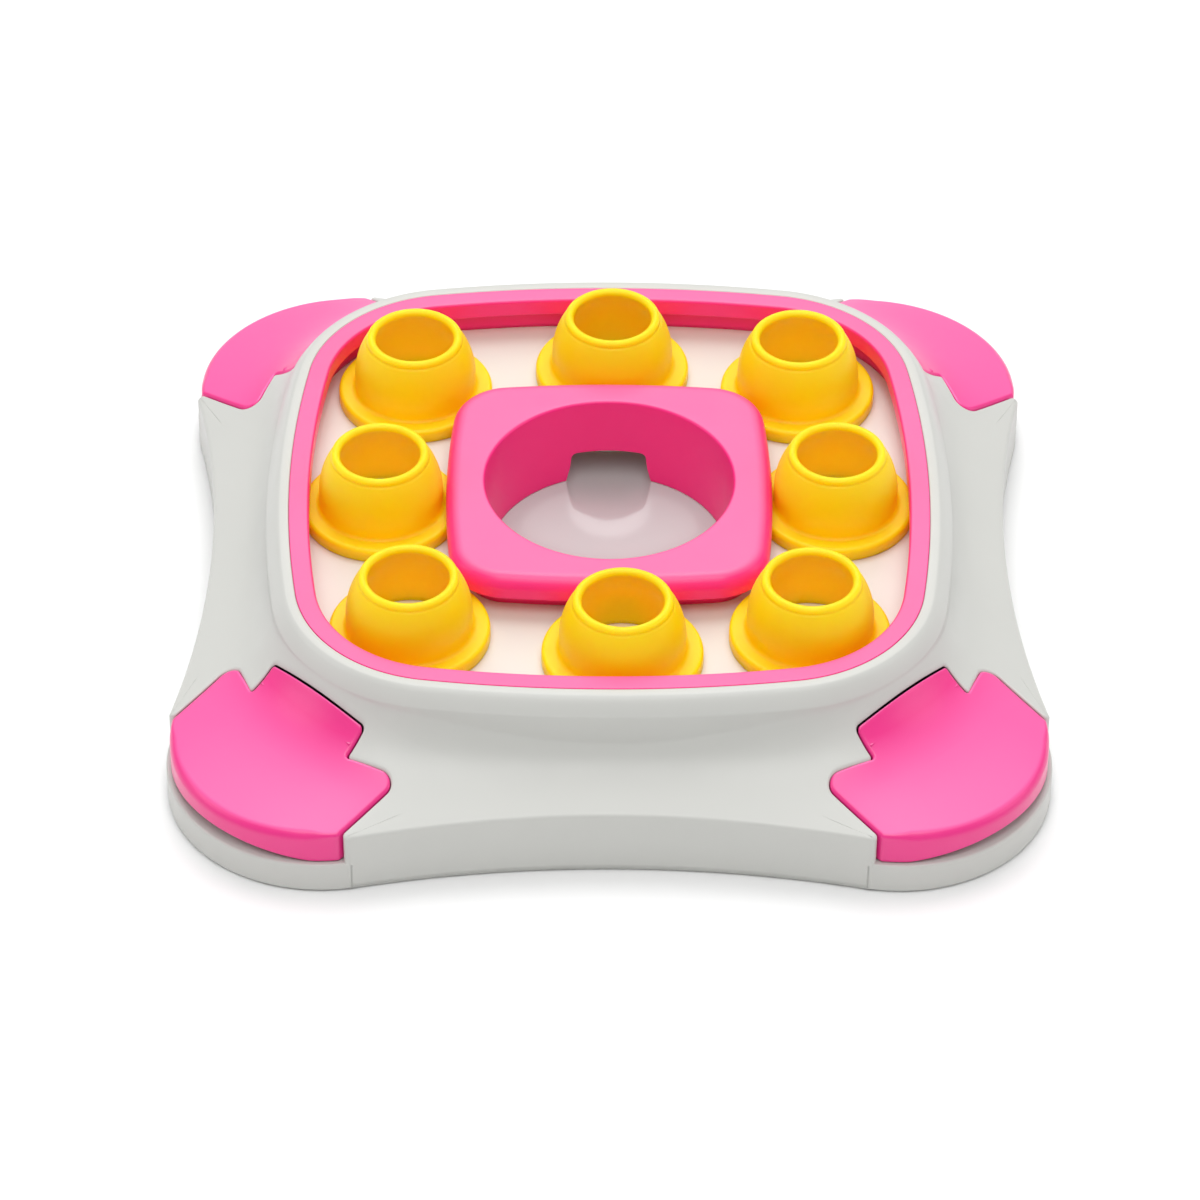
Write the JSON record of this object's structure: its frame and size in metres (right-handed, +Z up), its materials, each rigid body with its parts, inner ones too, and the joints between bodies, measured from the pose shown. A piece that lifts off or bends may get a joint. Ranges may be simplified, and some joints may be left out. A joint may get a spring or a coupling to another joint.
{
  "type": "dog puzzle feeder toy",
  "caption": "Square low dog feeder with sliding yellow cups in a track round a raised pink bowl block, and hinged pink lids over the corner treat wells.",
  "frame": {"origin": "centre of the bounding box at the height of the feet's undersides, below the middle of the bowl", "axes": "+Z up, +Y towards the side that the chute comes from, -Y the front"},
  "size_m": [0.2736, 0.2736, 0.062],
  "materials": {
    "white_body": "satin white moulding",
    "white_gloss": "gloss white moulding",
    "pink": "satin pink moulding",
    "yellow": "satin yellow moulding",
    "steel": "zinc-plated steel",
    "rubber": "matte grey rubber"
  },
  "bodies": {
    "base": {"body_shell": "white_body", "base_plate": "white_body", "feet": "rubber", "base_screws": "steel", "track_floor": "white_body", "rim_trim": "pink", "centre_block": "pink", "block_screws": "steel", "bowl_dish": "white_gloss", "treat_chute": "white_gloss", "hinge_pins": "steel"},
    "cup_right": {"cup_right": "yellow"},
    "cup_right_rear": {"cup_right_rear": "yellow"},
    "cup_rear": {"cup_rear": "yellow"},
    "cup_left_rear": {"cup_left_rear": "yellow"},
    "cup_left": {"cup_left": "yellow"},
    "cup_left_front": {"cup_left_front": "yellow"},
    "cup_front": {"cup_front": "yellow"},
    "cup_right_front": {"cup_right_front": "yellow"},
    "lid_right_rear": {"lid_right_rear": "pink"},
    "lid_left_rear": {"lid_left_rear": "pink"},
    "lid_left_front": {"lid_left_front": "pink"},
    "lid_right_front": {"lid_right_front": "pink"}
  },
  "joints": [
    {"name": "cup_right_slide", "type": "slide", "parent": "base", "child": "cup_right", "axis": [0, 1, 0], "range_m": [-0.011, 0.0085]},
    {"name": "cup_right_rear_turn", "type": "hinge", "parent": "base", "child": "cup_right_rear", "pos_m": [0.0337, 0.0337, 0.037], "axis": [0, 0, 1], "range_deg": [-15, 15]},
    {"name": "cup_rear_slide", "type": "slide", "parent": "base", "child": "cup_rear", "axis": [-1, 0, 0], "range_m": [-0.01, 0.013]},
    {"name": "cup_left_rear_turn", "type": "hinge", "parent": "base", "child": "cup_left_rear", "pos_m": [-0.0337, 0.0337, 0.037], "axis": [0, 0, 1], "range_deg": [-15, 15]},
    {"name": "cup_left_slide", "type": "slide", "parent": "base", "child": "cup_left", "axis": [0, -1, 0], "range_m": [-0.0095, 0.0095]},
    {"name": "cup_left_front_turn", "type": "hinge", "parent": "base", "child": "cup_left_front", "pos_m": [-0.0337, -0.0337, 0.037], "axis": [0, 0, 1], "range_deg": [-15, 15]},
    {"name": "cup_front_slide", "type": "slide", "parent": "base", "child": "cup_front", "axis": [1, 0, 0], "range_m": [-0.014, 0.0075]},
    {"name": "cup_right_front_turn", "type": "hinge", "parent": "base", "child": "cup_right_front", "pos_m": [0.0337, -0.0337, 0.037], "axis": [0, 0, 1], "range_deg": [-12, 15]},
    {"name": "lid_right_rear_hinge", "type": "hinge", "parent": "base", "child": "lid_right_rear", "pos_m": [0.09147, 0.09147, 0.02923], "axis": [0.7071, -0.7071, 0], "range_deg": [0, 80]},
    {"name": "lid_left_rear_hinge", "type": "hinge", "parent": "base", "child": "lid_left_rear", "pos_m": [-0.09147, 0.09147, 0.02923], "axis": [0.7071, 0.7071, 0], "range_deg": [0, 80]},
    {"name": "lid_left_front_hinge", "type": "hinge", "parent": "base", "child": "lid_left_front", "pos_m": [-0.09147, -0.09147, 0.02923], "axis": [-0.7071, 0.7071, 0], "range_deg": [0, 80]},
    {"name": "lid_right_front_hinge", "type": "hinge", "parent": "base", "child": "lid_right_front", "pos_m": [0.09147, -0.09147, 0.02923], "axis": [-0.7071, -0.7071, 0], "range_deg": [0, 80]}
  ]
}
